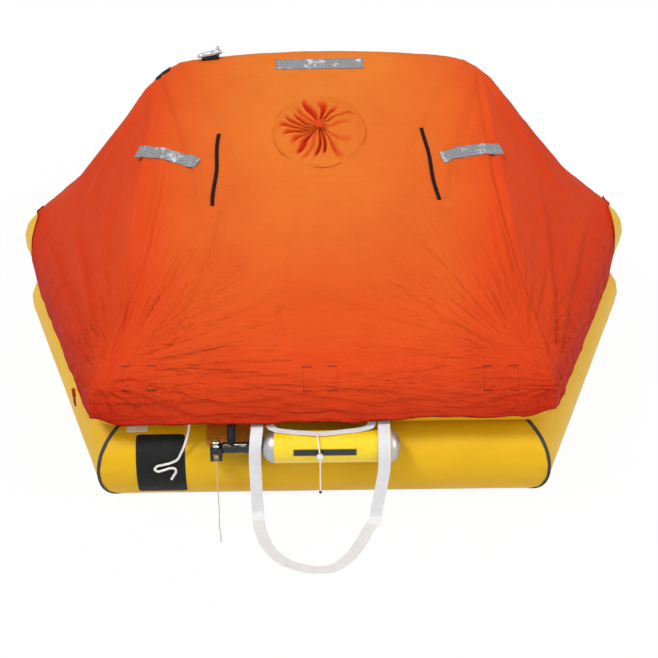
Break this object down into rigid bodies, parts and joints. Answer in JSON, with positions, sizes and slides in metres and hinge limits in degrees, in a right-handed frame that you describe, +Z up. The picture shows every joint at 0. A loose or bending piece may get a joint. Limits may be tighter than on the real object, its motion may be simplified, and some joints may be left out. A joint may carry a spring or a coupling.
{
  "type": "inflatable liferaft",
  "caption": "Inflated offshore liferaft: stacked hexagonal buoyancy tubes, a canopy over an arch tube, a gas cylinder and a boarding strap at the front.",
  "frame": {"origin": "middle of the floor's underside, where the raft stands on a flat surface", "axes": "+Z up; -Y towards the front side with the gas cylinder; +X to the right seen from the front"},
  "size_m": [2.3732, 2.9775, 1.1945],
  "materials": {
    "tube_fabric": "satin proofed fabric",
    "canopy_fabric": "thin proofed fabric, slight sheen",
    "floor_fabric": "matte proofed fabric",
    "seam_tape": "matte twill",
    "black_rubber": "matte",
    "black_plastic": "satin",
    "white_webbing": "woven, matte",
    "dark_webbing": "woven, matte",
    "orange_patch": "matte",
    "bare_aluminium": "satin",
    "sleeve_film": "smooth film",
    "chrome": "polished",
    "brass": "satin",
    "silver_tape": "satin reflective film",
    "clear_plastic": "clear",
    "white_plastic": "satin",
    "cable_sheath": "satin",
    "red_steel": "glossy"
  },
  "bodies": {
    "raft_body": {"lower_buoyancy_tube": "tube_fabric", "upper_buoyancy_tube": "tube_fabric", "arch_tube": "tube_fabric", "floor_sheet": "floor_fabric", "ballast_pocket_front": "dark_webbing", "ballast_pocket_rear": "dark_webbing", "canopy_front": "canopy_fabric", "canopy_rear": "canopy_fabric", "port_sleeve": "canopy_fabric", "port_knot": "canopy_fabric", "skirt_patch_left": "canopy_fabric", "skirt_patch_centre": "canopy_fabric", "skirt_patch_right": "canopy_fabric", "ring_tab": "canopy_fabric", "seam_tape_front_left": "seam_tape", "seam_tape_front_right": "seam_tape", "seam_tape_rear_right": "seam_tape", "seam_tape_rear_left": "seam_tape", "front_patch": "black_rubber", "head_backing_patch": "orange_patch", "lifeline_patch": "white_webbing", "strap_anchor_left": "black_rubber", "strap_anchor_right": "black_rubber", "line_anchor": "black_rubber", "reflective_tape_top": "silver_tape", "reflective_tape_left": "silver_tape", "reflective_tape_right": "silver_tape", "door_tie_left": "dark_webbing", "door_tie_right": "dark_webbing", "shoulder_tab": "dark_webbing", "light_base": "black_rubber", "light_body": "bare_aluminium", "light_lens": "clear_plastic", "gas_cylinder": "bare_aluminium", "cylinder_sleeve": "sleeve_film", "cylinder_saddle_left": "black_rubber", "cylinder_saddle_right": "black_rubber", "valve_neck": "brass", "operating_head": "black_plastic", "firing_housing": "black_plastic", "swivel_nut": "chrome", "inlet_flange": "black_rubber", "inlet_hose": "black_rubber", "boarding_strap": "white_webbing", "ladder_top_strap": "white_webbing", "tie_cord": "white_webbing", "tie_toggle": "white_plastic", "tie_bead": "black_plastic", "white_line": "white_webbing", "topping_valve_lower": "black_plastic", "topping_valve_upper": "black_plastic", "relief_valve_lower": "white_plastic", "relief_valve_upper": "white_plastic"},
    "firing_pin_body": {"firing_pin": "brass", "firing_cable": "cable_sheath", "cable_ball": "white_plastic"},
    "lower_cap_body": {"topping_cap_lower": "black_plastic"},
    "upper_cap_body": {"topping_cap_upper": "black_plastic"},
    "ring_body": {"skirt_ring": "red_steel"}
  },
  "joints": [
    {"name": "firing_pin_pull", "type": "slide", "parent": "raft_body", "child": "firing_pin_body", "axis": [0, -1, 0], "range_m": [0, 0.015]},
    {"name": "lower_cap_turn", "type": "hinge", "parent": "raft_body", "child": "lower_cap_body", "pos_m": [0.3, -0.998, 0.14], "axis": [0, 1, 0], "range_deg": [0, 90]},
    {"name": "upper_cap_turn", "type": "hinge", "parent": "raft_body", "child": "upper_cap_body", "pos_m": [0.3, -0.998, 0.4115], "axis": [0, 1, 0], "range_deg": [0, 90]},
    {"name": "ring_swing", "type": "hinge", "parent": "raft_body", "child": "ring_body", "pos_m": [-0.84714, -1.07099, 0.314], "axis": [-0.3182, 0.948, 0], "range_deg": [0, 120]}
  ]
}
